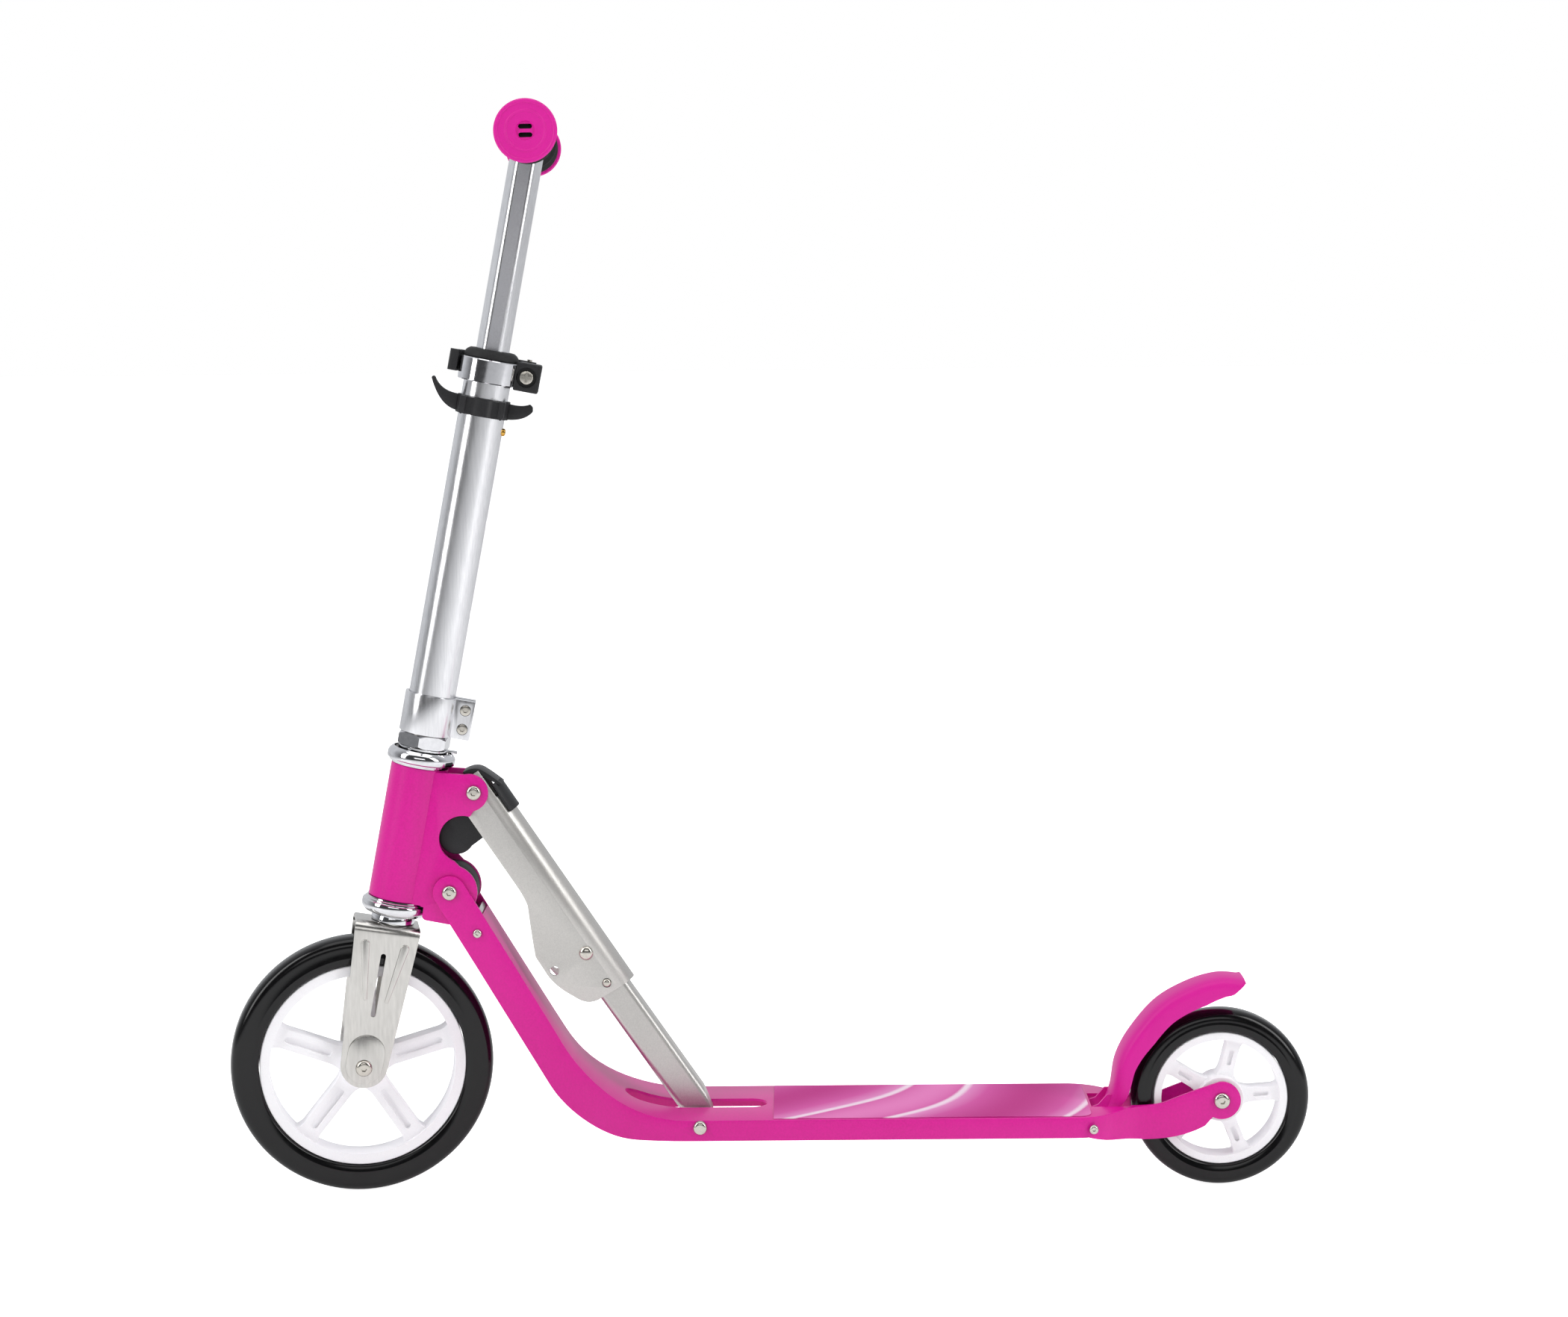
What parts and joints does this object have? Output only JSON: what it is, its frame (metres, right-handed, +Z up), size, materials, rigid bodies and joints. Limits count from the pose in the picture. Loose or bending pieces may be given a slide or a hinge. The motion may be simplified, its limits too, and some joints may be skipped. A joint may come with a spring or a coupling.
{
  "type": "kick scooter",
  "caption": "Folding child's kick scooter with a steered front wheel, a pressed deck, a locking strut, a telescopic bar and a foot brake.",
  "frame": {"origin": "on the ground, under the middle of the scooter's length, in its middle plane", "axes": "+Z up, -X forward towards the front wheel, +Y to the rider's right"},
  "size_m": [0.8445, 0.3586, 0.8414],
  "materials": {
    "pink_metal": "satin powder coat",
    "pink_plastic": "moulded, satin",
    "grip_print": "fine grit with a pale print",
    "black_plastic": "moulded, satin",
    "black_rubber": "soft matte",
    "black_tyre": "glossy cast polyurethane",
    "white_core": "satin moulded nylon",
    "satin_aluminium": "satin, drawn and anodised",
    "stamped_steel": "stamped, lightly brushed plating",
    "bright_chrome": "polished",
    "fastener": "bright nickel plate",
    "brass_button": "polished"
  },
  "bodies": {
    "deck_frame": {"deck": "pink_metal", "grip_tape": "grip_print", "arm_rivet": "fastener", "fold_stop": "stamped_steel", "fold_bolt": "fastener", "strut_foot_bolt": "fastener", "brake_pin": "fastener", "brake_spring": "stamped_steel", "rear_axle_bolt": "fastener", "rear_axle_nut": "fastener", "rear_spacer_left": "fastener", "rear_spacer_right": "fastener"},
    "brake": {"brake_fender": "pink_metal"},
    "rear_wheel": {"rear_wheel_tyre": "black_tyre", "rear_wheel_core": "white_core", "rear_wheel_bearings": "bright_chrome"},
    "head": {"head_bracket": "pink_metal", "bracket_liner": "black_rubber", "strut_top_bolt": "fastener", "lower_headset_cup": "bright_chrome", "upper_headset_cup": "bright_chrome", "lower_headset_bearing": "fastener", "upper_headset_bearing": "fastener"},
    "strut_upper": {"strut_channel": "satin_aluminium", "knee_rivet_left": "fastener", "knee_rivet_right": "fastener"},
    "release": {"release_lever": "black_plastic"},
    "knee_snap_left": {"knee_button_left": "fastener"},
    "knee_snap_right": {"knee_button_right": "fastener"},
    "strut_lower": {"strut_tube": "satin_aluminium"},
    "steerer": {"fork": "stamped_steel", "crown_race": "bright_chrome", "upper_race": "bright_chrome", "lock_nut": "bright_chrome", "fork_axle_bolt": "fastener", "fork_axle_nut": "fastener", "fork_spacer_left": "fastener", "fork_spacer_right": "fastener", "column_tube": "satin_aluminium", "bottom_collar": "satin_aluminium", "collar_screw_lower": "fastener", "collar_screw_upper": "fastener", "column_clip": "black_plastic", "clamp_band": "satin_aluminium", "clamp_block": "black_plastic", "clamp_screw": "fastener", "clamp_pin": "fastener", "column_bush": "black_plastic"},
    "front_wheel": {"front_wheel_tyre": "black_tyre", "front_wheel_core": "white_core", "front_wheel_bearings": "bright_chrome"},
    "clamp": {"clamp_lever": "black_plastic"},
    "height_snap": {"height_button": "brass_button"},
    "handlebar": {"bar_stem": "satin_aluminium", "crossbar": "satin_aluminium", "grip_left": "black_rubber", "grip_right": "black_rubber", "end_cap_left": "pink_plastic", "end_cap_right": "pink_plastic"}
  },
  "joints": [
    {"name": "fold", "type": "hinge", "parent": "deck_frame", "child": "head", "pos_m": [-0.24695, 0, 0.2401], "axis": [0, 1, 0], "range_deg": [0, 75.5]},
    {"name": "strut_upper_pivot", "type": "hinge", "parent": "head", "child": "strut_upper", "pos_m": [-0.22705, 0, 0.3177], "axis": [0, 1, 0], "range_deg": [-121.7, 0]},
    {"name": "strut_lower_pivot", "type": "hinge", "parent": "deck_frame", "child": "strut_lower", "pos_m": [-0.05385, 0, 0.061], "axis": [0, 1, 0], "range_deg": [0, 48.3]},
    {"name": "strut_release", "type": "hinge", "parent": "strut_upper", "child": "release", "pos_m": [-0.22705, 0, 0.3177], "axis": [0, -1, 0], "range_deg": [0, 6], "stiffness_Nm_per_rad": 1.5, "springref_deg": -5.73},
    {"name": "knee_snap_left_press", "type": "slide", "parent": "strut_upper", "child": "knee_snap_left", "axis": [0, 1, 0], "range_m": [0, 0.002], "stiffness_N_per_m": 600, "springref_m": -0.001},
    {"name": "knee_snap_right_press", "type": "slide", "parent": "strut_upper", "child": "knee_snap_right", "axis": [0, -1, 0], "range_m": [0, 0.002], "stiffness_N_per_m": 600, "springref_m": -0.001},
    {"name": "steering", "type": "hinge", "parent": "head", "child": "steerer", "pos_m": [-0.31633, 0, 0.10173], "axis": [0.1924, 0, 0.9813], "continuous": true},
    {"name": "front_wheel_spin", "type": "hinge", "parent": "steerer", "child": "front_wheel", "pos_m": [-0.32019, -0.00072, 0.10249], "axis": [-0.1771, 0.9836, 0.0347], "continuous": true},
    {"name": "rear_wheel_spin", "type": "hinge", "parent": "deck_frame", "child": "rear_wheel", "pos_m": [0.35275, 0, 0.07], "axis": [0, 1, 0], "continuous": true},
    {"name": "bar_height", "type": "slide", "parent": "steerer", "child": "handlebar", "axis": [0.1924, 0, 0.9813], "range_m": [-0.1434, 0]},
    {"name": "height_snap_press", "type": "slide", "parent": "steerer", "child": "height_snap", "axis": [-0.9792, -0.0663, 0.1919], "range_m": [0, 0.002], "stiffness_N_per_m": 500, "springref_m": -0.001},
    {"name": "clamp_lever_turn", "type": "hinge", "parent": "steerer", "child": "clamp", "pos_m": [-0.1831, 0.02028, 0.63731], "axis": [-0.1924, 0, -0.9813], "range_deg": [0, 100]},
    {"name": "brake_press", "type": "hinge", "parent": "deck_frame", "child": "brake", "pos_m": [0.24935, 0, 0.0574], "axis": [0, 1, 0], "range_deg": [0, 6], "stiffness_Nm_per_rad": 8, "springref_deg": -17.19}
  ],
  "couplings": [
    {"joint": "strut_upper_pivot", "follows": "fold", "ratio": -1.6107},
    {"joint": "strut_lower_pivot", "follows": "fold", "ratio": 0.63913}
  ]
}
